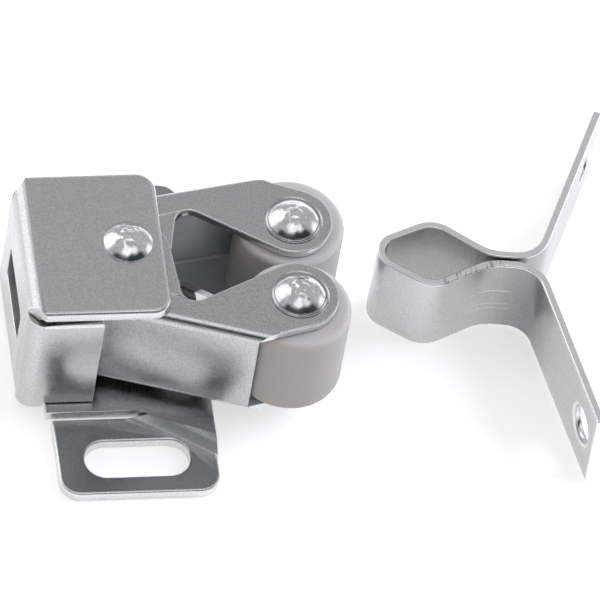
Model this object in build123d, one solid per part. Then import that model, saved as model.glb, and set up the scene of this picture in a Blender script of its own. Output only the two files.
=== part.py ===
from build123d import *
import math
import os

# Double roller catch with its strike, in millimetres.
# The origin is midway between the two screw slots, on the surface that the ears are screwed to.
# +Z points away from that surface, +X out of the mouth towards the strike, +Y to the far side.

# Bracket: one folded sheet with an end wall, a top leaf, two side wings, a base leaf and two ears
bracket_t = 1.0
bracket_height = 14.5
bracket_bend = 1.5
top_length = 13.1
top_width = 16.0
top_corner = 1.8
wall_width = 16.0
wing_length = 7.0
wing_gap = 0.15
wing_foot = 0.6
bend_width = 12.6
bend_relief = 0.2
bend_flare = 1.5
base_width = 16.4
base_setback = 2.6
window_width = 8.0
window_height = 3.8
window_corner = 0.5
joggle_drop = 1.0
joggle_run = 1.3
joggle_bend = 1.4
joggle_angle = 33.0
joggle_offset = 0.35
ear_offset = 3.2
ear_length = 14.8
ear_depth = 8.45
ear_corner = 1.9
slit_width = 0.95
neck_width = 5.8
slot_length = 9.7
slot_width = 4.0
slot_from_edge = 3.9

# Pivot rivet through the bracket and both arms
pivot_from_wall = 9.8
pivot_shank = 3.0
pivot_head = 4.5
pivot_head_height = 1.15
pivot_tail = 4.4
pivot_tail_height = 0.8

# Arms: two identical stampings, one of them turned over, with their leaves one above the other
arm_t = 0.8
arm_bend = 1.1
arm_reach = 16.3
arm_end_radius = 3.65
hub_radius = 4.1
web_offset = 6.65
web_taper = 3.0
web_end = 14.0
tail_reach = 4.4
notch_floor = 1.4
notch_top = 3.55
notch_corner = 0.8
notch_slope = 45.0
end_play = 0.15
leaf_gap = 0.1
pin_clearance = 0.06

# Rollers on their rivets
roller_diameter = 10.0
roller_rounding = 0.55
roller_gap = 0.1
roller_play = 0.1
roller_clearance = 0.5
roller_shift = 0.45
axle_shank = 3.0
axle_head = 4.6
axle_head_height = 1.2
axle_tail = 4.0
axle_tail_height = 0.8
head_rim = 0.2

# How the freely swinging pair lies: its middle line leans to the near side
pair_lean = -3.9

# Spring between the tails of the two arms
seat_reach = 2.7
nipple_diameter = 1.8
nipple_height = 0.9
dimple_diameter = 1.2
dimple_depth = 0.5
spring_diameter = 3.6
spring_wire = 0.55
spring_turns = 5
spring_end_gap = 0.45

# Strike: one strip on edge, folded to a nose, a neck and two sprung legs
strike_t = 0.75
strike_width = 9.0
nose_radius = 2.2
nose_front_slope = 29.0
nose_back_slope = 31.5
shoulder_half = 4.16
shoulder_radius = 2.9
neck_gap = 0.3
neck_radius = 4.0
leg_reach = 20.2
leg_half_span = 18.1
leg_lean = 17.8
leg_radius = 2.6
strike_hole = 3.2
strike_sink = 4.0
strike_sink_depth = 0.4
strike_hole_from_tip = 3.05
strike_tip_x = 23.45
strike_tip_y = 3.3
strike_turn = -7.3

# Places that follow from the sizes above
wall_x = -(ear_offset + ear_length / 2)
pivot_x = wall_x + pivot_from_wall
base_z = joggle_drop
top_z = base_z + bracket_height
inside_low = base_z + bracket_t
inside_high = top_z - bracket_t
inside_height = inside_high - inside_low
arm_height = inside_height - 2 * end_play - arm_t - leaf_gap
low_arm_z = inside_low + end_play
high_arm_z = low_arm_z + arm_t + leaf_gap
axle_half_gap = (roller_diameter + roller_gap) / 2 - roller_shift
half_spread = math.degrees(math.asin(axle_half_gap / arm_reach))
far_angle = pair_lean + half_spread
near_angle = pair_lean - half_spread
roller_length = arm_height - 2 * arm_t - 2 * roller_play

os.makedirs("parts", exist_ok=True)


def folded_strip(points, radii, thickness):
    """Section of a folded strip: its outer line with rounded bends, thickened on the left of the path."""
    outer = FilletPolyline(*points, radius=radii)
    return make_face(offset(outer, amount=thickness, side=Side.LEFT).edges())


def turned(points, angle):
    """The points turned about the origin."""
    c = math.cos(math.radians(angle))
    s = math.sin(math.radians(angle))
    return [(x * c - y * s, x * s + y * c) for x, y in points]


def tangent_point(point, centre, radius, side):
    """Where a line from the point touches a circle; side 1 or -1 picks the tangent."""
    dx = centre[0] - point[0]
    dy = centre[1] - point[1]
    distance = math.hypot(dx, dy)
    angle = math.atan2(dy, dx) + side * math.asin(radius / distance)
    length = math.sqrt(distance ** 2 - radius ** 2)
    return (point[0] + length * math.cos(angle), point[1] + length * math.sin(angle))


def rivet(shank, grip, head, head_height, tail, tail_height):
    """A rivet along +Z: the grip starts at Z 0, the domed head is above it and the tail below."""
    dome = head_height - head_rim
    cup = tail_height - head_rim

    def dome_arc(radius, base, height):
        ball = (radius ** 2 + height ** 2) / (2 * abs(height))
        half_angle = math.asin(min(1.0, radius / ball)) / 2
        centre = base + height - math.copysign(ball, height)
        middle = (ball * math.sin(half_angle), centre + math.copysign(ball * math.cos(half_angle), height))
        return ThreePointArc((radius, base), middle, (0, base + height))

    outline = [
        Line((0, -tail_height), (0, grip + head_height)),
        dome_arc(head / 2, grip + head_rim, dome),
        Line((head / 2, grip + head_rim), (head / 2, grip)),
        Line((head / 2, grip), (shank / 2, grip)),
        Line((shank / 2, grip), (shank / 2, 0)),
        Line((shank / 2, 0), (tail / 2, 0)),
        Line((tail / 2, 0), (tail / 2, -head_rim)),
        dome_arc(tail / 2, -head_rim, -cup),
    ]
    return revolve(Plane.XZ * make_face(outline), Axis.Z)


def ear_with_neck(side):
    """One ear on its neck: a sheet stepped down along a slanting line, cut to its plan outline."""
    base_edge = base_width / 2
    ear_back = base_edge + slit_width
    ear_x = wall_x + ear_offset
    ear_end_x = ear_x + ear_length
    overlap = bracket_t / 2
    plan = Pos(ear_x + ear_length / 2, ear_back + ear_depth / 2) * Rectangle(ear_length, ear_depth)
    plan = fillet(plan.vertices().group_by(Axis.Y)[-1], ear_corner)
    neck_depth = slit_width + overlap + ear_corner
    neck_y = base_edge - overlap + neck_depth / 2
    neck = Pos(ear_end_x - neck_width / 2, neck_y) * Rectangle(neck_width, neck_depth)
    slit_end = Pos(ear_end_x - neck_width, base_edge + slit_width / 2) * Circle(slit_width / 2)
    slot_y = ear_back + ear_depth - slot_from_edge
    slot = Pos(ear_x + ear_length / 2, slot_y) * SlotOverall(slot_length, slot_width)
    outline = plan + neck - slit_end - slot
    reach = ear_length + ear_depth
    step = [
        (-reach, base_z + bracket_t),
        (-joggle_run / 2, base_z + bracket_t),
        (joggle_run / 2, bracket_t),
        (reach, bracket_t),
    ]
    section = folded_strip(list(reversed(step)), [joggle_bend, joggle_bend], bracket_t)
    across = turned([(0, 1)], joggle_angle)[0]
    fold_start = (ear_end_x - neck_width, ear_back + joggle_offset)
    fold_plane = Plane(origin=(*fold_start, 0), x_dir=(*across, 0), z_dir=(across[1], -across[0], 0))
    sheet = extrude(fold_plane * section, amount=reach, both=True)
    ear = sheet & extrude(outline, amount=base_z + bracket_t)
    return ear if side > 0 else mirror(ear, Plane.XZ)


def bracket_leaf_outline():
    """Plan of the top leaf with its bend, which narrows between the wings where it meets the wall."""
    half = top_width / 2
    narrow = bend_width / 2
    corners = [
        (wall_x, narrow),
        (wall_x + bend_flare, half),
        (wall_x + top_length, half),
        (wall_x + top_length, -half),
        (wall_x + bend_flare, -half),
        (wall_x, -narrow),
    ]
    outline = make_face(Polyline(*corners, close=True))
    return fillet(outline.vertices().group_by(Axis.X)[-1], top_corner)


def bracket_base_outline():
    """Plan of the base leaf, set back from the wall but for its bend."""
    base_length = ear_offset + ear_length
    plan = Rectangle(base_length - base_setback, base_width)
    strip = Rectangle(base_length, bend_width)
    return Pos(wall_x + (base_length + base_setback) / 2, 0) * plan + Pos(wall_x + base_length / 2, 0) * strip


def bracket():
    """The folded bracket."""
    fold = folded_strip(
        [(top_length, top_z), (0, top_z), (0, base_z), (ear_offset + ear_length, base_z)],
        [bracket_bend, bracket_bend],
        bracket_t,
    )
    sheet = extrude(Plane.XZ * (Pos(wall_x, 0) * fold), amount=top_width, both=True)
    wall_low = base_z + bracket_bend
    wall_high = top_z - bracket_bend
    top_leaf = sheet & Pos(0, 0, wall_high) * extrude(bracket_leaf_outline(), amount=bracket_bend)
    base_leaf = sheet & Pos(0, 0, base_z) * extrude(bracket_base_outline(), amount=bracket_bend)
    cage = folded_strip(
        [
            (wall_x + wing_length, wall_width / 2),
            (wall_x, wall_width / 2),
            (wall_x, -wall_width / 2),
            (wall_x + wing_length, -wall_width / 2),
        ],
        [bracket_bend, bracket_bend],
        bracket_t,
    )
    foot_z = base_z + wing_foot
    cage = Pos(0, 0, foot_z) * extrude(cage, amount=wall_high - foot_z)
    foot_height = wall_low - foot_z
    beside_bend = Box(4 * bracket_t, bend_width + 2 * bend_relief, foot_height)
    cage -= Pos(wall_x, 0, foot_z + foot_height / 2) * beside_bend
    over_base_height = inside_low + wing_gap - foot_z
    over_base = Box(wing_length, 2 * wall_width, over_base_height)
    over_base_x = wall_x + base_setback - bend_relief + wing_length / 2
    cage -= Pos(over_base_x, 0, foot_z + over_base_height / 2) * over_base
    over_wing = Box(4 * wing_length, wall_width, 2 * bend_relief)
    for side in (1, -1):
        cage -= Pos(wall_x, side * (bend_width + wall_width) / 2, wall_high) * over_wing
    middle_z = (base_z + top_z) / 2
    window = Plane.YZ * RectangleRounded(window_width, window_height, window_corner)
    window = Pos(wall_x, 0, middle_z) * extrude(window, amount=2 * bracket_t, both=True)
    pivot_hole = Pos(pivot_x, 0, 0) * Cylinder(pivot_shank / 2, 4 * top_z)
    body = cage + top_leaf + base_leaf + ear_with_neck(1) + ear_with_neck(-1)
    return body - window - pivot_hole


def web_point(u, inset=0.0):
    """A point on the web's outer face at u along the arm, moved inwards by the inset."""
    taper = math.radians(web_taper)
    v = web_offset - u * math.tan(taper)
    return (u - inset * math.sin(taper), v - inset * math.cos(taper))


def arm_outline():
    """Plan of an arm, with its pivot at the origin, its roller on +X and its web on the +Y side."""
    end = (arm_reach, 0)
    tail = web_point(-tail_reach)
    apex = web_point(web_end)
    end_outer = tangent_point(apex, end, arm_end_radius, 1)
    lean = math.radians(notch_slope)
    end_inner = (arm_reach - arm_end_radius * math.sin(lean), -arm_end_radius * math.cos(lean))
    rise = notch_top - end_inner[1]
    notch_right = (end_inner[0] - rise / math.tan(lean), notch_top)
    notch_left = (notch_right[0] - notch_floor, notch_top)
    hub_front = tangent_point(notch_left, (0, 0), hub_radius, 1)
    hub_rear = tangent_point(tail, (0, 0), hub_radius, -1)
    corners = [tail, apex, end_outer, end_inner, notch_right, notch_left, hub_front, hub_rear]
    leaf = make_face(Polyline(*corners, close=True))
    near_notch = [v for v in leaf.vertices() if abs(v.Y - notch_top) < 0.001]
    leaf = fillet(near_notch, notch_corner)
    return leaf + Circle(hub_radius) + Pos(arm_reach, 0) * Circle(arm_end_radius)


def arm():
    """A folded arm from Z 0 to its full height: two leaves joined by the web."""
    taper = math.radians(web_taper)
    along = (math.cos(taper), -math.sin(taper), 0)
    inward = (-math.sin(taper), -math.cos(taper), 0)
    back = (-along[0], -along[1], 0)
    far_u = arm_reach + arm_end_radius + arm_t
    depth = 2 * web_offset + hub_radius
    path = [(depth, arm_height), (0, arm_height), (0, 0), (depth, 0)]
    channel = folded_strip(path, [arm_bend, arm_bend], arm_t)
    start = Plane(origin=(*web_point(far_u), 0), x_dir=inward, z_dir=back)
    body = extrude(start * channel, amount=(far_u + tail_reach) / math.cos(taper))
    body = body & extrude(arm_outline(), amount=arm_height)
    beyond = Plane(origin=(*web_point(web_end), arm_t), x_dir=inward, z_dir=(0, 0, 1))
    open_end = Pos(0, arm_reach / 2, (arm_height - 2 * arm_t) / 2) * Box(
        4 * arm_bend, arm_reach, arm_height - 2 * arm_t
    )
    body = body - beyond * open_end
    pivot_bore = Cylinder(pivot_shank / 2 + pin_clearance, 4 * arm_height)
    axle_bore = Pos(arm_reach, 0, 0) * Cylinder(axle_shank / 2, 4 * arm_height)
    seat = Plane(origin=(*web_point(-seat_reach, arm_t), arm_height / 2), z_dir=inward)
    outside = Plane(origin=(*web_point(-seat_reach), arm_height / 2), z_dir=inward)
    nipple = seat * (Pos(0, 0, nipple_height / 2) * Cylinder(nipple_diameter / 2, nipple_height))
    dimple = outside * (Pos(0, 0, dimple_depth / 2) * Cylinder(dimple_diameter / 2, dimple_depth))
    return body + nipple - dimple - pivot_bore - axle_bore


def place_far(solid):
    """Puts a piece from the arm's own frame into the lower, far arm."""
    return Pos(pivot_x, 0, low_arm_z) * (Rot(0, 0, far_angle) * solid)


def place_near(solid):
    """Puts a piece from the arm's own frame, already turned over, into the upper, near arm."""
    return Pos(pivot_x, 0, high_arm_z) * (Rot(0, 0, near_angle) * solid)


def roller():
    """A plain nylon roller with rounded rims, from Z 0, loose on its rivet."""
    body = Pos(0, 0, roller_length / 2) * Cylinder(roller_diameter / 2, roller_length)
    body = fillet(body.edges().filter_by(GeomType.CIRCLE), roller_rounding)
    return body - Cylinder(axle_shank / 2 + roller_clearance, 4 * roller_length)


def spring_seats():
    """The two points on the webs' inner faces that the spring presses on."""
    u, v = web_point(-seat_reach, arm_t)
    far_x, far_y = turned([(u, v)], far_angle)[0]
    near_x, near_y = turned([(u, -v)], near_angle)[0]
    middle = arm_height / 2
    far_seat = Vector(pivot_x + far_x, far_y, low_arm_z + middle)
    near_seat = Vector(pivot_x + near_x, near_y, high_arm_z + middle)
    return near_seat, far_seat


def spring():
    """The coil spring that pushes the tails apart, from the near seat to the far one."""
    near_seat, far_seat = spring_seats()
    axis = (far_seat - near_seat).normalized()
    rise = (far_seat - near_seat).length - 2 * spring_end_gap - spring_wire
    coil = Helix(pitch=rise / spring_turns, height=rise, radius=(spring_diameter - spring_wire) / 2)
    section = Plane(origin=coil @ 0, z_dir=coil % 0) * Circle(spring_wire / 2)
    wire = sweep(section, path=coil)
    start = near_seat + axis * (spring_end_gap + spring_wire / 2)
    return Plane(origin=start, z_dir=axis) * wire


def strike():
    """The strike, standing on the edge of its strip, with its nose towards the rollers."""
    front = math.radians(nose_front_slope)
    nose_x = -nose_radius * (1 / math.sin(front) - 1)
    shoulder_x = nose_x + shoulder_half / math.tan(front)
    neck_half = strike_t + neck_gap / 2
    neck_x = shoulder_x + (shoulder_half - neck_half) / math.tan(math.radians(nose_back_slope))
    lean = math.radians(leg_lean)
    leg_x = leg_reach - (leg_half_span - neck_half) * math.tan(lean)
    half = [
        (leg_reach, leg_half_span),
        (leg_x, neck_half),
        (neck_x, neck_half),
        (shoulder_x, shoulder_half),
    ]
    points = half + [(nose_x, 0)] + [(x, -y) for x, y in reversed(half)]
    radii = [leg_radius, neck_radius, shoulder_radius]
    section = folded_strip(points, radii + [nose_radius] + list(reversed(radii)), strike_t)
    body = extrude(section, amount=strike_width)
    hole_y = leg_half_span - strike_hole_from_tip
    hole_x = leg_x + (hole_y - neck_half) * math.tan(lean)
    for side in (1, -1):
        face = Plane(
            origin=(hole_x, side * hole_y, strike_width / 2),
            z_dir=(math.cos(lean), -side * math.sin(lean), 0),
        )
        bore = Cylinder(strike_hole / 2, 4 * strike_t)
        sink = Pos(0, 0, strike_sink_depth / 2) * Cone(strike_sink / 2, strike_hole / 2, strike_sink_depth)
        body = body - face * bore - face * sink
    return Pos(strike_tip_x, strike_tip_y, 0) * (Rot(0, 0, strike_turn) * body)


arm_blank = arm()
turned_arm = Pos(0, 0, arm_height) * (Rot(180, 0, 0) * arm_blank)
axle = rivet(axle_shank, arm_height, axle_head, axle_head_height, axle_tail, axle_tail_height)
axle = Pos(arm_reach, 0, 0) * axle
far_wheel = Pos(arm_reach, roller_shift, arm_t + roller_play) * roller()
near_wheel = Pos(arm_reach, -roller_shift, arm_t + roller_play) * roller()
pivot = rivet(pivot_shank, bracket_height, pivot_head, pivot_head_height, pivot_tail, pivot_tail_height)

parts = {
    "bracket": bracket(),
    "pivot_rivet": Pos(pivot_x, 0, base_z) * pivot,
    "far_arm": place_far(arm_blank),
    "near_arm": place_near(turned_arm),
    "far_axle_rivet": place_far(axle),
    "near_axle_rivet": place_near(axle),
    "far_roller": place_far(far_wheel),
    "near_roller": place_near(near_wheel),
    "spring": spring(),
    "strike": strike(),
}
for name, solid in parts.items():
    solid.label = name
    export_step(solid, os.path.join("parts", name + ".step"))
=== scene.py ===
import math

import bpy
from mathutils import Matrix, Vector


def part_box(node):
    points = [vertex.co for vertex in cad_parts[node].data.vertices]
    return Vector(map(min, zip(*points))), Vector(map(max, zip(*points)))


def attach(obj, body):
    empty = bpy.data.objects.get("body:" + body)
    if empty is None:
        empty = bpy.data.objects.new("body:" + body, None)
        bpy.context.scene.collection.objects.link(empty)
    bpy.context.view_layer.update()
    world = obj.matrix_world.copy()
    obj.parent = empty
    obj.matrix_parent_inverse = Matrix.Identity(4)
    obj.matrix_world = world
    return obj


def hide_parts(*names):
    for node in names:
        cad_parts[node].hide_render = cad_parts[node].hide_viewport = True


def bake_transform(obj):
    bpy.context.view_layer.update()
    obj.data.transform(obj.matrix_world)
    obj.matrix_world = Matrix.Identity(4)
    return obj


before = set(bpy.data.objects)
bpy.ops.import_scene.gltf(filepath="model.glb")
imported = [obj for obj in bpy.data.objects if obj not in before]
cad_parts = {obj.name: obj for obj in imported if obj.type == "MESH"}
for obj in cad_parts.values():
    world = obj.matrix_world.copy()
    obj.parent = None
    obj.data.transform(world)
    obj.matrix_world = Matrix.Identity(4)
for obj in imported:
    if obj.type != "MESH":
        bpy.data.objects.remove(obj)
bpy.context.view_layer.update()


# Camera. The catch is a palm-sized thing photographed from far off with a long lens,
# from in front of the near ear, a little left of square, looking steeply down.
# The picture is turned clockwise, so the level edges of the bracket fall to the left.
view_azimuth = math.radians(-15.7)
view_elevation = math.radians(52.2)
view_roll = math.radians(10.8)
picture_width = 0.0549
camera_distance = 1.2
picture_centre = Vector((0.01575, -0.00151, 0.008))

back = Vector((
    math.sin(view_azimuth) * math.cos(view_elevation),
    -math.cos(view_azimuth) * math.cos(view_elevation),
    math.sin(view_elevation),
))
lens = bpy.data.cameras.new("long_lens")
camera = bpy.data.objects.new("camera", lens)
bpy.context.scene.collection.objects.link(camera)
lens.sensor_width = 36
lens.lens = lens.sensor_width * camera_distance / picture_width
lens.clip_start = 0.01
lens.clip_end = 20
camera.location = picture_centre + back * camera_distance
level = (-back).to_track_quat("-Z", "Y").to_matrix()
camera.matrix_world = (
    Matrix.Translation(camera.location)
    @ level.to_4x4()
    @ Matrix.Rotation(view_roll, 4, "Z")
)
bpy.context.scene.camera = camera


# Bracket. One blank of nickel-plated sheet steel, 1 mm thick, folded into an end wall, a top
# leaf, two wings and a base leaf with two slotted ears. Pressing rolls the blank's outer edges
# over. Every edge and sheared face gets a lighter plating colour, a painted highlight.
sharp_angle = math.radians(38)
smooth_angle = math.radians(32)
flat_angle = math.radians(0.6)
weld_within = 1e-6


def deselect_all():
    for each in bpy.context.selected_objects:
        each.select_set(False)


def make_active(piece):
    deselect_all()
    piece.select_set(True)
    bpy.context.view_layer.objects.active = piece


def copy_of(node, name):
    """A copy of a node with a mesh of its own, as the only selected object."""
    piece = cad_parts[node].copy()
    piece.data = piece.data.copy()
    piece.name = name
    piece.data.name = name
    piece.parent = None
    bpy.context.scene.collection.objects.link(piece)
    make_active(piece)
    return piece


def copy_to_finish(node, name):
    """A welded copy of a node, with its flat faces made whole, ready for its edges to be worked."""
    piece = copy_of(node, name)
    bpy.ops.mesh.customdata_custom_splitnormals_clear()
    bpy.ops.object.mode_set(mode="EDIT")
    bpy.ops.mesh.select_all(action="SELECT")
    bpy.ops.mesh.remove_doubles(threshold=weld_within)
    bpy.ops.mesh.dissolve_limited(angle_limit=flat_angle, delimit={"NORMAL"})
    bpy.ops.mesh.select_all(action="DESELECT")
    bpy.ops.object.mode_set(mode="OBJECT")
    return piece


def sharp_borders(mesh):
    """The mesh's sharp edges, each as its two vertices, with the normals of its two faces."""
    sides = {}
    for face in mesh.polygons:
        for key in face.edge_keys:
            sides.setdefault(key, []).append(face.normal.copy())
    return {
        key: pair
        for key, pair in sides.items()
        if len(pair) == 2 and pair[0].angle(pair[1]) > sharp_angle
    }


def flat_groups(mesh):
    """For each face, the number of the flat patch of joined faces that it lies in."""
    level_within = 0.002
    leader = list(range(len(mesh.polygons)))

    def top(index):
        while leader[index] != index:
            index = leader[index]
        return index

    first = {}
    for face in mesh.polygons:
        for key in face.edge_keys:
            other = first.setdefault(key, face.index)
            turn = mesh.polygons[other].normal.angle(face.normal)
            if other != face.index and turn < level_within:
                leader[top(face.index)] = top(other)
    return [top(index) for index in range(len(mesh.polygons))]


def mark_sheared(piece, thickness):
    """Gives the second material to the strips that shearing left round the sheet."""
    mesh = piece.data
    places = [vertex.co for vertex in mesh.vertices]
    borders = sharp_borders(mesh)
    patch = flat_groups(mesh)
    area = {}
    uses = {}
    count = {}
    for face in mesh.polygons:
        group = patch[face.index]
        area[group] = area.get(group, 0) + face.area
        count[group] = count.get(group, 0) + 1
        for key in face.edge_keys:
            uses.setdefault(group, {}).setdefault(key, 0)
            uses[group][key] += 1

    def length(key):
        return (places[key[0]] - places[key[1]]).length

    for face in mesh.polygons:
        group = patch[face.index]
        rim = [key for key, times in uses[group].items() if times == 1]
        outline = sum(length(key) for key in rim)
        sharp_part = sum(length(key) for key in rim if key in borders)
        breadth = area[group] / (outline / 2)
        as_wide_as_sheet = 0.45 * thickness < breadth < 1.1 * thickness
        sheared = as_wide_as_sheet and outline > 8 * thickness and sharp_part > 0.7 * outline
        sharp = [key for key in face.edge_keys if key in borders]
        if sharp and not sheared and count[group] == 1:
            a, b = max(sharp, key=length)
            along = (places[b] - places[a]).normalized()
            reach = 0
            for vertex in face.vertices:
                across = places[vertex] - places[a]
                reach = max(reach, (across - across.dot(along) * along).length)
            sheared = 0.5 * thickness < reach < 1.15 * thickness
        face.material_index = 1 if sheared else 0


def round_edges(piece, width, segments, chosen):
    """Rounds the sharp edges that chosen() picks by their middle and by whether they face up."""
    mesh = piece.data
    borders = sharp_borders(mesh)
    weights = mesh.attributes.get("bevel_weight_edge")
    if weights is None:
        weights = mesh.attributes.new("bevel_weight_edge", "FLOAT", "EDGE")
    for edge in mesh.edges:
        key = tuple(sorted(edge.vertices))
        picked = False
        if key in borders:
            middle = (mesh.vertices[key[0]].co + mesh.vertices[key[1]].co) / 2
            faces_up = max(normal.z for normal in borders[key]) > 0.7
            picked = chosen(middle, faces_up)
        weights.data[edge.index].value = 1.0 if picked else 0.0
    rounding = piece.modifiers.new("edge", "BEVEL")
    rounding.width = width
    rounding.segments = segments
    rounding.limit_method = "WEIGHT"
    rounding.miter_outer = "MITER_ARC"
    rounding.use_clamp_overlap = False
    rounding.loop_slide = False
    rounding.material = 1
    make_active(piece)
    bpy.ops.object.modifier_apply(modifier=rounding.name)
    bpy.ops.object.shade_smooth_by_angle(angle=smooth_angle)


def add_socket(group, name, in_out, kind, value=None):
    socket = group.interface.new_socket(name=name, in_out=in_out, socket_type=kind)
    if value is not None:
        socket.default_value = value


def link(tree, out_node, out_name, in_node, in_name):
    tree.links.new(out_node.outputs[out_name], in_node.inputs[in_name])


def plated_grain_group():
    """Fine pits and slow waves of barrel-plated sheet: a height, a fine tone and a slow one."""
    group = bpy.data.node_groups.new("plated_grain", "ShaderNodeTree")
    add_socket(group, "Pit size", "INPUT", "NodeSocketFloat", 7000.0)
    add_socket(group, "Pit height", "INPUT", "NodeSocketFloat", 0.15)
    add_socket(group, "Wave size", "INPUT", "NodeSocketFloat", 150.0)
    add_socket(group, "Height", "OUTPUT", "NodeSocketFloat")
    add_socket(group, "Slow", "OUTPUT", "NodeSocketFloat")
    add_socket(group, "Fine", "OUTPUT", "NodeSocketFloat")
    nodes = group.nodes
    inputs = nodes.new("NodeGroupInput")
    outputs = nodes.new("NodeGroupOutput")
    place = nodes.new("ShaderNodeTexCoord")
    pits = nodes.new("ShaderNodeTexNoise")
    pits.inputs["Detail"].default_value = 2.0
    waves = nodes.new("ShaderNodeTexNoise")
    waves.inputs["Detail"].default_value = 1.0
    slow = nodes.new("ShaderNodeTexNoise")
    slow.inputs["Scale"].default_value = 520.0
    slow.inputs["Detail"].default_value = 3.0
    relief = nodes.new("ShaderNodeMath")
    relief.operation = "MULTIPLY_ADD"
    for texture in (pits, waves, slow):
        link(group, place, "Object", texture, "Vector")
    link(group, inputs, "Pit size", pits, "Scale")
    link(group, inputs, "Wave size", waves, "Scale")
    link(group, pits, "Fac", relief, 0)
    link(group, inputs, "Pit height", relief, 1)
    link(group, waves, "Fac", relief, 2)
    link(group, relief, "Value", outputs, "Height")
    link(group, slow, "Fac", outputs, "Slow")
    link(group, pits, "Fac", outputs, "Fine")
    return group


plated_grain = plated_grain_group()


def plated_steel(name, dark, light, smooth, rough, relief, pit_height=0.15, pit_size=7000.0):
    """Nickel plate whose tone wanders with the fine pits and whose gloss with slow clouds."""
    material = bpy.data.materials.new(name)
    material.use_nodes = True
    tree = material.node_tree
    shader = tree.nodes["Principled BSDF"]
    shader.inputs["Metallic"].default_value = 1.0
    grain = tree.nodes.new("ShaderNodeGroup")
    grain.name = "grain"
    grain.node_tree = plated_grain
    grain.inputs["Pit size"].default_value = pit_size
    grain.inputs["Pit height"].default_value = pit_height
    spread = tree.nodes.new("ShaderNodeMapRange")
    spread.inputs["From Min"].default_value = 0.3
    spread.inputs["From Max"].default_value = 0.7
    colour = tree.nodes.new("ShaderNodeMix")
    colour.name = "colour"
    colour.data_type = "RGBA"
    colour.inputs["A"].default_value = (*dark, 1)
    colour.inputs["B"].default_value = (*light, 1)
    gloss = tree.nodes.new("ShaderNodeMapRange")
    gloss.inputs["From Min"].default_value = 0.3
    gloss.inputs["From Max"].default_value = 0.7
    gloss.inputs["To Min"].default_value = smooth
    gloss.inputs["To Max"].default_value = rough
    bump = tree.nodes.new("ShaderNodeBump")
    bump.name = "bump"
    bump.inputs["Strength"].default_value = 1.0
    bump.inputs["Distance"].default_value = relief
    link(tree, grain, "Fine", spread, "Value")
    link(tree, spread, "Result", colour, "Factor")
    link(tree, grain, "Slow", gloss, "Value")
    link(tree, grain, "Height", bump, "Height")
    link(tree, colour, "Result", shader, "Base Color")
    link(tree, gloss, "Result", shader, "Roughness")
    link(tree, bump, "Normal", shader, "Normal")
    return material


bracket_plate = plated_steel(
    "bracket_plate", dark=(0.5, 0.505, 0.51), light=(0.66, 0.66, 0.665),
    smooth=0.22, rough=0.3, relief=4e-5,
)
# Painted highlight: a lighter plating for the edges and sheared faces, standing in for the bright
# lines that light draws along them.
edge_highlight_plate = plated_steel(
    "edge_highlight_plate", dark=(0.64, 0.64, 0.645), light=(0.84, 0.84, 0.845),
    smooth=0.24, rough=0.36, relief=2e-5,
)


def mask_between(tree, value, none, full, ramp="SMOOTHSTEP"):
    """A mask that goes from 0 where the value is at none to 1 where it is at full."""
    mask = tree.nodes.new("ShaderNodeMapRange")
    mask.interpolation_type = ramp
    mask.inputs["From Min"].default_value = none
    mask.inputs["From Max"].default_value = full
    tree.links.new(value, mask.inputs["Value"])
    return mask.outputs["Result"]


def combine(tree, operation, first, second=None):
    """What a Math node makes of one or two values, of which the second may be a plain number."""
    node = tree.nodes.new("ShaderNodeMath")
    node.operation = operation
    tree.links.new(first, node.inputs[0])
    if isinstance(second, float):
        node.inputs[1].default_value = second
    elif second is not None:
        tree.links.new(second, node.inputs[1])
    return node.outputs["Value"]


def object_axes(tree):
    """The place on the object, as the X, Y and Z outputs of one node."""
    place = tree.nodes.new("ShaderNodeTexCoord")
    axes = tree.nodes.new("ShaderNodeSeparateXYZ")
    link(tree, place, "Object", axes, "Vector")
    return axes.outputs


def lay_shade(material, mask, shade, blend="MULTIPLY"):
    """Blends a shade over the colour that the material has so far, where the mask says."""
    tree = material.node_tree
    colour = tree.nodes["Principled BSDF"].inputs["Base Color"]
    over = tree.nodes.new("ShaderNodeMix")
    over.data_type = "RGBA"
    over.blend_type = blend
    over.inputs["B"].default_value = (*shade, 1)
    tree.links.new(mask, over.inputs["Factor"])
    tree.links.new(colour.links[0].from_socket, over.inputs["A"])
    tree.links.new(over.outputs["Result"], colour)


def painted_shade_on_ears(material):
    """Painted shade: darkens the plating colour on the two ears, standing in for the darker
    reflection they show.
    """
    tree = material.node_tree
    axes = object_axes(tree)
    outward = combine(tree, "ABSOLUTE", axes["Y"])
    past_slit = mask_between(tree, outward, 0.0089, 0.0103)
    below_leaf = mask_between(tree, axes["Z"], 0.0026, 0.0021, "LINEAR")
    lay_shade(material, combine(tree, "MULTIPLY", past_slit, below_leaf), (0.62, 0.66, 0.68))


# Painted shade on the ears.
painted_shade_on_ears(bracket_plate)


bracket_sheet = 0.001
pivot = Vector((-0.0008, 0))
rivet_reach = 0.0024
leaf_start_x = -0.0073
ear_start_y = 0.0095
slit_y = 0.00915
slit_end_x = 0.00215
slit_narrowing = 0.12


def leaf_rim(at, faces_up):
    on_leaf = at.z > 0.0135 and at.x > leaf_start_x
    return faces_up and on_leaf and (at.xy - pivot).length > rivet_reach


def ear_rim(at, faces_up):
    return faces_up and at.z < 0.0012 and abs(at.y) > 0.0096


def other_bracket_edge(at, faces_up):
    at_flare = -0.0098 < at.x < -0.0066 and at.z > 0.012 and abs(at.y) > 0.006
    on_rim = at.z > 0.013 and at.x > leaf_start_x
    at_rivet = (at.xy - pivot).length <= rivet_reach
    return not (at_flare or on_rim or at_rivet) and abs(at.y) < ear_start_y


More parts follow.
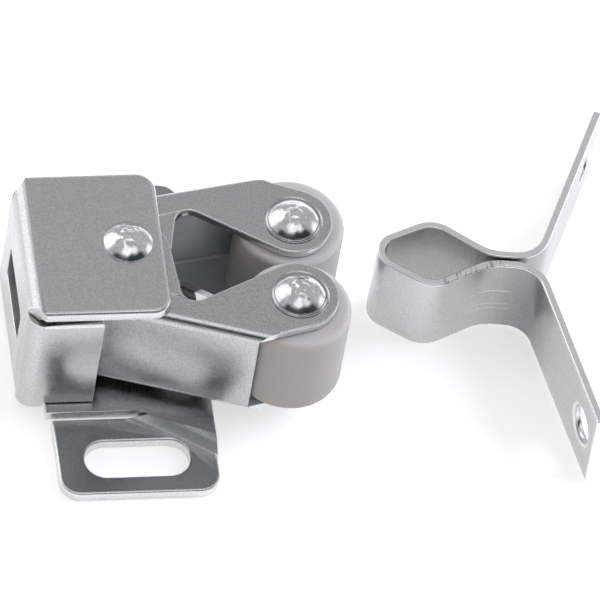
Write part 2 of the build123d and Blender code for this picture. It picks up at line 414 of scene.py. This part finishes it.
def close_slit(piece, side):
    """Draws the base leaf's edge out until only a fine slit parts it from the ear."""
    for vertex in piece.data.vertices:
        at = vertex.co
        on_slit = 0.0081 < side * at.y < 0.0092 and at.x < slit_end_x
        vertex.select = on_slit and at.z < 0.00205
    make_active(piece)
    bpy.ops.object.mode_set(mode="EDIT")
    bpy.ops.mesh.select_mode(type="VERT")
    bpy.ops.transform.resize(
        value=(1, slit_narrowing, 1),
        center_override=(0, side * slit_y, 0),
        orient_type="GLOBAL",
    )
    bpy.ops.mesh.select_all(action="DESELECT")
    bpy.ops.object.mode_set(mode="OBJECT")


bracket = copy_to_finish("bracket", "folded_bracket")
for side in (-1, 1):
    close_slit(bracket, side)
bracket.data.materials[0] = bracket_plate
bracket.data.materials.append(edge_highlight_plate)
mark_sheared(bracket, bracket_sheet)
round_edges(bracket, width=0.0004, segments=5, chosen=leaf_rim)
round_edges(bracket, width=0.00022, segments=4, chosen=ear_rim)
round_edges(bracket, width=0.00007, segments=2, chosen=other_bracket_edge)
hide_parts("bracket")
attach(bracket, "housing")


# Arms. Two strokes of one stamping in 0.8 mm steel, one turned over, so that their leaves lie
# one above the other on the pivot. Each is folded to a channel whose web carries the spring.
arm_sheet = 0.0008
arm_plate = plated_steel(
    "arm_plate", dark=(0.44, 0.445, 0.45), light=(0.62, 0.62, 0.625),
    smooth=0.22, rough=0.3, relief=3e-5,
)
# Painted fill light: the faces inside each channel get a lighter, teal-tinted plating that lifts
# the shade falling there.
arm_inside_fill_light = plated_steel(
    "arm_inside_fill_light", dark=(0.62, 0.665, 0.68), light=(0.7, 0.745, 0.76),
    smooth=0.45, rough=0.6, relief=3e-5,
)


def struck_ring_group():
    """The depth of the ring that the riveting tool sinks round a head, or of a disc at radius 0."""
    group = bpy.data.node_groups.new("struck_ring", "ShaderNodeTree")
    add_socket(group, "Middle", "INPUT", "NodeSocketVector")
    add_socket(group, "Radius", "INPUT", "NodeSocketFloat", 0.00255)
    add_socket(group, "Half width", "INPUT", "NodeSocketFloat", 0.00022)
    add_socket(group, "Depth", "OUTPUT", "NodeSocketFloat")
    nodes = group.nodes
    inputs = nodes.new("NodeGroupInput")
    outputs = nodes.new("NodeGroupOutput")
    place = nodes.new("ShaderNodeTexCoord")
    offset = nodes.new("ShaderNodeVectorMath")
    offset.operation = "SUBTRACT"
    flat = nodes.new("ShaderNodeVectorMath")
    flat.operation = "MULTIPLY"
    flat.inputs[1].default_value = (1, 1, 0)
    distance = nodes.new("ShaderNodeVectorMath")
    distance.operation = "LENGTH"
    away = nodes.new("ShaderNodeMath")
    away.operation = "SUBTRACT"
    either = nodes.new("ShaderNodeMath")
    either.operation = "ABSOLUTE"
    groove = nodes.new("ShaderNodeMapRange")
    groove.interpolation_type = "SMOOTHSTEP"
    groove.inputs["From Min"].default_value = 0
    groove.inputs["To Min"].default_value = 1
    groove.inputs["To Max"].default_value = 0
    link(group, place, "Object", offset, 0)
    link(group, inputs, "Middle", offset, 1)
    link(group, offset, "Vector", flat, 0)
    link(group, flat, "Vector", distance, 0)
    link(group, distance, "Value", away, 0)
    link(group, inputs, "Radius", away, 1)
    link(group, away, "Value", either, 0)
    link(group, either, "Value", groove, "Value")
    link(group, inputs, "Half width", groove, "From Max")
    link(group, groove, "Result", outputs, "Depth")
    return group


struck_ring = struck_ring_group()


def middle_of(node):
    low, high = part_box(node)
    return (low + high) / 2


def ring_at(tree, middle, radius=0.00255, half_width=0.00022):
    """The depth of a ring round a middle, of which only X and Y count."""
    ring = tree.nodes.new("ShaderNodeGroup")
    ring.node_tree = struck_ring
    ring.inputs["Middle"].default_value = (middle[0], middle[1], 0)
    ring.inputs["Radius"].default_value = radius
    ring.inputs["Half width"].default_value = half_width
    return ring.outputs["Depth"]


def add_to_relief(tree, height, share):
    """Adds a share of a height to that of the grain, which the bump then raises."""
    relief = tree.nodes.new("ShaderNodeMath")
    relief.operation = "MULTIPLY_ADD"
    relief.inputs[1].default_value = share
    tree.links.new(height, relief.inputs[0])
    link(tree, tree.nodes["grain"], "Height", relief, 2)
    link(tree, relief, "Value", tree.nodes["bump"], "Height")


def with_struck_ring(material, name, rivet, depth):
    """A copy of a plated material with the riveting tool's ring sunk around one rivet."""
    copy = material.copy()
    copy.name = name
    tree = copy.node_tree
    unit = tree.nodes["bump"].inputs["Distance"].default_value
    add_to_relief(tree, ring_at(tree, middle_of(rivet)), -depth / unit)
    return copy


def round_notch(arm, axle, side):
    """Widens the two corners of the notch between hub and roller into one easy curve."""
    notch_y = 0.00355
    fillet_reach = 0.0006
    widening = 1.6
    along = (axle - pivot).normalized()
    across = Vector((-along.y, along.x)) * side
    for notch_x in (0.006188, 0.007588):
        corner = pivot + along * notch_x + across * notch_y
        for vertex in arm.data.vertices:
            vertex.select = (vertex.co.xy - corner).length < fillet_reach
        make_active(arm)
        bpy.ops.object.mode_set(mode="EDIT")
        bpy.ops.mesh.select_mode(type="VERT")
        bpy.ops.transform.resize(
            value=(widening, widening, 1), center_override=(*corner, 0)
        )
        bpy.ops.mesh.select_all(action="DESELECT")
        bpy.ops.object.mode_set(mode="OBJECT")


def leaf_edge(at, axle, level):
    at_rivet = min((at.xy - pivot).length, (at.xy - axle).length) < rivet_reach
    return abs(at.z - level) < 5e-6 and not at_rivet


for side, turn in (("far", 1), ("near", -1)):
    arm = copy_to_finish(side + "_arm", side + "_channel_arm")
    axle = middle_of(side + "_axle_rivet").xy
    round_notch(arm, axle, turn)
    arm.data.materials[0] = with_struck_ring(
        arm_plate, side + "_arm_plate", side + "_axle_rivet", 1.2e-4
    )
    arm.data.materials.append(edge_highlight_plate)
    arm.data.materials.append(arm_inside_fill_light)
    mark_sheared(arm, arm_sheet)
    middle_z = middle_of(side + "_arm").z
    along = (axle - pivot).normalized()
    outward = Vector((-along.y, along.x, 0)) * turn
    # The inside faces of leaf and web take the painted fill light.
    for face in arm.data.polygons:
        inside_leaf = face.normal.z * (face.center.z - middle_z) < -0.002
        inside_web = face.normal.dot(outward) < -0.5
        if face.material_index == 0 and (inside_leaf or inside_web):
            face.material_index = 2
    top = max(vertex.co.z for vertex in arm.data.vertices)
    under = top - arm_sheet
    round_edges(
        arm, width=0.00018, segments=3,
        chosen=lambda at, faces_up: faces_up and leaf_edge(at, axle, top),
    )
    round_edges(
        arm, width=0.00006, segments=2,
        chosen=lambda at, faces_up: not faces_up and leaf_edge(at, axle, under),
    )
    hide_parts(side + "_arm")
    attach(arm, side + "_lever")


# Rivets. Soft steel, nickel-plated. The riveting tool polishes the rim of each dome and leaves a
# round patch of hammer marks on its crown.
def crown_marks(material, name, rivet):
    """A copy of the rivets' plating with the tool's marks sunk in the middle of one head."""
    crown_radius = 0.0017
    copy = material.copy()
    copy.name = name
    tree = copy.node_tree
    crown = ring_at(tree, middle_of(rivet), radius=0.0, half_width=crown_radius)
    place = tree.nodes.new("ShaderNodeTexCoord")
    dents = tree.nodes.new("ShaderNodeTexVoronoi")
    dents.inputs["Scale"].default_value = 1500.0
    link(tree, place, "Object", dents, "Vector")
    add_to_relief(tree, combine(tree, "MULTIPLY", dents.outputs["Distance"], crown), 30.0)
    return copy


rivet_bright = plated_steel(
    "rivet_bright", dark=(0.62, 0.62, 0.63), light=(0.8, 0.8, 0.81),
    smooth=0.12, rough=0.2, relief=1e-5, pit_height=0.5, pit_size=2400.0,
)
for node in ("pivot_rivet", "far_axle_rivet", "near_axle_rivet"):
    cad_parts[node].data.materials[0] = crown_marks(rivet_bright, node + "_plate", node)


# Rollers. Turned or moulded from natural white nylon, a little translucent, smooth but not
# polished, and faintly mottled all over. They run loose on their rivets.
def nylon_material():
    material = bpy.data.materials.new("natural_nylon")
    material.use_nodes = True
    tree = material.node_tree
    shader = tree.nodes["Principled BSDF"]
    shader.inputs["Roughness"].default_value = 0.62
    shader.inputs["Specular IOR Level"].default_value = 0.25
    shader.inputs["Subsurface Weight"].default_value = 0.4
    shader.inputs["Subsurface Radius"].default_value = (0.0016, 0.0011, 0.0008)
    shader.inputs["Subsurface Scale"].default_value = 1.0
    place = tree.nodes.new("ShaderNodeTexCoord")
    mottle = tree.nodes.new("ShaderNodeTexNoise")
    mottle.inputs["Scale"].default_value = 5200.0
    mottle.inputs["Detail"].default_value = 2.0
    colour = tree.nodes.new("ShaderNodeMix")
    colour.data_type = "RGBA"
    colour.inputs["A"].default_value = (0.49, 0.47, 0.46, 1)
    colour.inputs["B"].default_value = (0.58, 0.56, 0.55, 1)
    bump = tree.nodes.new("ShaderNodeBump")
    bump.inputs["Strength"].default_value = 0.6
    bump.inputs["Distance"].default_value = 8e-6
    link(tree, place, "Object", mottle, "Vector")
    link(tree, mottle, "Fac", colour, "Factor")
    link(tree, mottle, "Fac", bump, "Height")
    link(tree, colour, "Result", shader, "Base Color")
    link(tree, bump, "Normal", shader, "Normal")
    return material


natural_nylon = nylon_material()
for side in ("far", "near"):
    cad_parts[side + "_roller"].data.materials[0] = natural_nylon


# Spring. A coil of bright drawn wire between the webs' tails, behind the pivot. Its ends stay on
# their seats while the far arm opens; this copy is fixed in place and bends with neither arm.
spring_wire = plated_steel(
    "spring_wire", dark=(0.4, 0.4, 0.41), light=(0.5, 0.5, 0.51),
    smooth=0.22, rough=0.3, relief=1e-5,
)
spring = copy_of("spring", "coil_spring")
bpy.ops.object.mode_set(mode="EDIT")
bpy.ops.mesh.select_all(action="SELECT")
bpy.ops.mesh.remove_doubles(threshold=weld_within)
bpy.ops.mesh.select_all(action="DESELECT")
bpy.ops.object.mode_set(mode="OBJECT")
spring.data.materials[0] = spring_wire
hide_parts("spring")
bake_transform(spring)


# Strike. A strip of 0.75 mm spring steel folded on edge to a nose, a waist and two sprung legs
# with a countersunk hole each. It goes on the door. The folding die leaves drag lines along the
# waist, and cropping leaves ticks across the near edge. Round the bend to the near leg the
# plating colour is darkened, a painted shade.
strike_sheet = 0.00075
waist_near_y = 0.0016
edge_near_y = 0.0018


def forming_lines(material):
    """Raises three bright drag lines along the near side of the waist, left by the folding die."""
    tree = material.node_tree
    axes = object_axes(tree)
    reach = None
    for level in (0.0052, 0.0033, 0.0026):
        away = combine(tree, "ABSOLUTE", combine(tree, "SUBTRACT", axes["Z"], level))
        reach = away if reach is None else combine(tree, "MINIMUM", away, reach)
    mask = combine(tree, "LESS_THAN", axes["Y"], waist_near_y)
    for value, none, full in (
        (reach, 0.00014, 0.0),
        (axes["X"], 0.0318, 0.0328),
        (axes["X"], 0.0364, 0.0358),
    ):
        mask = combine(tree, "MULTIPLY", mask, mask_between(tree, value, none, full))
    lay_shade(material, mask, (0.85, 0.85, 0.855), "MIX")
    add_to_relief(tree, mask, 1.0)


def painted_shade_at_bend(material):
    """Painted shade: darkens the plating colour round the bend to the near leg, standing in for the
    dark reflection in the concave waist.
    """
    bend = (0.0382, -0.0004)
    painted_shade_mask = ring_at(material.node_tree, bend, radius=0.0, half_width=0.0062)
    lay_shade(material, painted_shade_mask, (0.5, 0.51, 0.52))


def burr_marks(material):
    """Ticks that cropping left across the strip's near edge, between nose and waist."""
    tree = material.node_tree
    axes = object_axes(tree)
    place = tree.nodes.new("ShaderNodeTexCoord")
    drawn = tree.nodes.new("ShaderNodeVectorMath")
    drawn.operation = "MULTIPLY"
    drawn.inputs[1].default_value = (1, 0.15, 0.1)
    ticks = tree.nodes.new("ShaderNodeTexNoise")
    ticks.inputs["Scale"].default_value = 3600.0
    ticks.inputs["Detail"].default_value = 1.0
    link(tree, place, "Object", drawn, 0)
    link(tree, drawn, "Vector", ticks, "Vector")
    mask = combine(tree, "LESS_THAN", axes["Y"], edge_near_y)
    for value, none, full, ramp in (
        (ticks.outputs["Fac"], 0.5, 0.6, "LINEAR"),
        (axes["X"], 0.0285, 0.0298, "SMOOTHSTEP"),
        (axes["X"], 0.0358, 0.0345, "SMOOTHSTEP"),
    ):
        mask = combine(tree, "MULTIPLY", mask, mask_between(tree, value, none, full, ramp))
    lay_shade(material, mask, (0.55, 0.55, 0.56))


strike_plate = plated_steel(
    "strike_plate", dark=(0.53, 0.53, 0.535), light=(0.66, 0.66, 0.665),
    smooth=0.26, rough=0.34, relief=3e-5,
)
forming_lines(strike_plate)
# Painted shade round the bend to the near leg.
painted_shade_at_bend(strike_plate)
# Painted highlight: a much lighter plating for the strike's edges and sheared faces, standing in
# for the bright lines along them. The cropping ticks on it are real marks.
strike_edge_highlight = plated_steel(
    "strike_edge_highlight", dark=(0.78, 0.78, 0.785), light=(0.93, 0.93, 0.935),
    smooth=0.2, rough=0.32, relief=1e-5,
)
burr_marks(strike_edge_highlight)
strike = copy_to_finish("strike", "folded_strike")
strike.data.materials[0] = strike_plate
strike.data.materials.append(strike_edge_highlight)
mark_sheared(strike, strike_sheet)
round_edges(strike, width=0.00018, segments=4, chosen=lambda at, faces_up: True)
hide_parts("strike")
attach(strike, "housing")


# Table. A white sheet under the object, which keeps its shadow. The camera sees it white, and so
# does the metal that mirrors it.
def white_stage():
    material = bpy.data.materials.new("white_sheet")
    material.use_nodes = True
    tree = material.node_tree
    tree.nodes.remove(tree.nodes["Principled BSDF"])
    out = tree.nodes["Material Output"]
    paper = tree.nodes.new("ShaderNodeBsdfDiffuse")
    paper.inputs["Color"].default_value = (0.8, 0.8, 0.8, 1)
    glow = tree.nodes.new("ShaderNodeEmission")
    rays = tree.nodes.new("ShaderNodeLightPath")
    mirrored = tree.nodes.new("ShaderNodeMath")
    mirrored.operation = "MULTIPLY"
    mirrored.inputs[1].default_value = 0.47
    lift = tree.nodes.new("ShaderNodeMath")
    lift.operation = "MULTIPLY_ADD"
    lift.inputs[1].default_value = 0.48
    both = tree.nodes.new("ShaderNodeAddShader")
    link(tree, rays, "Is Glossy Ray", mirrored, 0)
    link(tree, rays, "Is Camera Ray", lift, 0)
    link(tree, mirrored, "Value", lift, 2)
    link(tree, lift, "Value", glow, "Strength")
    tree.links.new(paper.outputs[0], both.inputs[0])
    tree.links.new(glow.outputs[0], both.inputs[1])
    tree.links.new(both.outputs[0], out.inputs["Surface"])
    return material


deselect_all()
floor_gap = 0.00002
bpy.ops.mesh.primitive_plane_add(size=3.0, location=(0.02, 0, -floor_gap))
floor = bpy.context.object
floor.name = "floor"
floor.data.materials.append(white_stage())


# Light. Two soft boxes beside the table, which the metal doesn't mirror, and a grey room with a
# few pale windows and a dark side, which it does.
def soft_box(name, place, aim, size, power, colour):
    lamp = bpy.data.lights.new(name, "AREA")
    lamp.color = colour
    lamp.shape = "SQUARE"
    lamp.size = size
    lamp.energy = power
    holder = bpy.data.objects.new(name, lamp)
    bpy.context.scene.collection.objects.link(holder)
    holder.location = place
    holder.rotation_mode = "QUATERNION"
    holder.rotation_quaternion = (Vector(aim) - Vector(place)).to_track_quat("-Z", "Y")
    holder.visible_glossy = False


catch_middle = (0.015, 0, 0.005)
soft_box(
    "key", place=(0.36, 0.08, 0.26), aim=catch_middle, size=0.3, power=1.6,
    colour=(0.82, 0.88, 1.0),
)
soft_box(
    "warm_fill", place=(-0.2, -0.34, 0.12), aim=catch_middle, size=0.2, power=0.2,
    colour=(1.0, 0.7, 0.46),
)

world = bpy.data.worlds.new("studio")
bpy.context.scene.world = world
world.use_nodes = True
room = world.node_tree
gaze = room.nodes.new("ShaderNodeTexCoord")


def lay_over(before, mask, shade):
    """Blends a shade over what the room shows already, where the mask says."""
    over = room.nodes.new("ShaderNodeMix")
    over.data_type = "RGBA"
    over.inputs["B"].default_value = (*shade, 1)
    room.links.new(mask, over.inputs["Factor"])
    if isinstance(before, tuple):
        over.inputs["A"].default_value = (*before, 1)
    else:
        room.links.new(before, over.inputs["A"])
    return over.outputs["Result"]


def room_light(before, azimuth, elevation, inner, outer, shade):
    """Lays a round patch at a bearing from +X, which fades out from inner to outer degrees."""
    a = math.radians(azimuth)
    e = math.radians(elevation)
    toward = room.nodes.new("ShaderNodeVectorMath")
    toward.operation = "DOT_PRODUCT"
    toward.inputs[1].default_value = (
        math.cos(a) * math.cos(e), math.sin(a) * math.cos(e), math.sin(e)
    )
    link(room, gaze, "Generated", toward, 0)
    none = math.cos(math.radians(outer))
    full = math.cos(math.radians(inner))
    return lay_over(before, mask_between(room, toward.outputs["Value"], none, full), shade)


def dark_side(before, shade):
    """Lays a dark band on the room, low on the photographer's side."""
    split = room.nodes.new("ShaderNodeSeparateXYZ")
    link(room, gaze, "Generated", split, "Vector")
    axes = split.outputs
    mask = mask_between(room, axes["Z"], 0.28, 0.42)
    for value, none, full in ((axes["Z"], 0.79, 0.69), (axes["Y"], -0.12, -0.4)):
        mask = combine(room, "MULTIPLY", mask, mask_between(room, value, none, full))
    return lay_over(before, mask, shade)


walls = (0.55, 0.55, 0.555)
unlit = (0.03, 0.04, 0.045)
room_shade = walls
for azimuth, elevation, inner, outer, shade in (
    (-100, 68, 10, 20, (1.4, 1.4, 1.42)),
    (-40, 62, 6, 14, (1.2, 1.2, 1.22)),
    (142, 26, 16, 32, (1.6, 1.6, 1.62)),
    (5, 10, 6, 20, (1.5, 1.5, 1.52)),
):
    room_shade = room_light(room_shade, azimuth, elevation, inner, outer, shade)
room_shade = dark_side(room_shade, unlit)
room_shade = room_light(room_shade, azimuth=-74, elevation=43, inner=9, outer=16, shade=unlit)
room.links.new(room_shade, room.nodes["Background"].inputs["Color"])

bpy.context.scene.view_settings.view_transform = "Standard"
